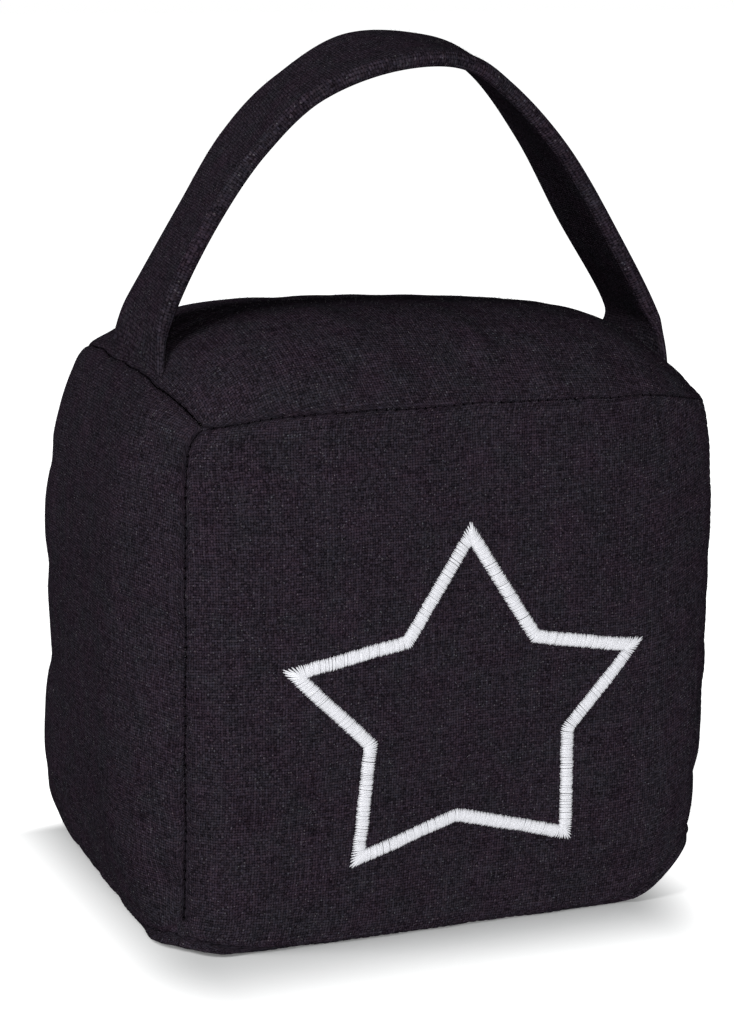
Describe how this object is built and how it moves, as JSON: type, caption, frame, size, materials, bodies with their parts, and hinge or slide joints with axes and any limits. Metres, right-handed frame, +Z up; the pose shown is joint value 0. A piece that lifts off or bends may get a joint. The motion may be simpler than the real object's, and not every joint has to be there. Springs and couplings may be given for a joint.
{
  "type": "weighted fabric door stop",
  "caption": "Stuffed canvas block door stop with a sand bag inside, a strap handle over the top and a stitched star outline on the front.",
  "frame": {"origin": "middle of the flat that the bottom panel rests on", "axes": "+X to the right seen from the star side, +Y to the back, +Z up"},
  "size_m": [0.1698, 0.137, 0.2289],
  "materials": {
    "canvas": "plain-woven cotton canvas, near black, matt",
    "strap_canvas": "the same canvas folded into a flat strap",
    "thread": "white satin-stitched rayon thread, slight sheen",
    "sand_bag": "sealed calico bag filled with dry sand",
    "fibre": "loose white polyester fibre filling"
  },
  "bodies": {
    "root": {"front_panel": "canvas", "back_panel": "canvas", "left_panel": "canvas", "right_panel": "canvas", "top_panel": "canvas", "bottom_panel": "canvas", "handle_strap": "strap_canvas", "star_embroidery": "thread", "weight_bag": "sand_bag", "wadding": "fibre"}
  },
  "joints": []
}
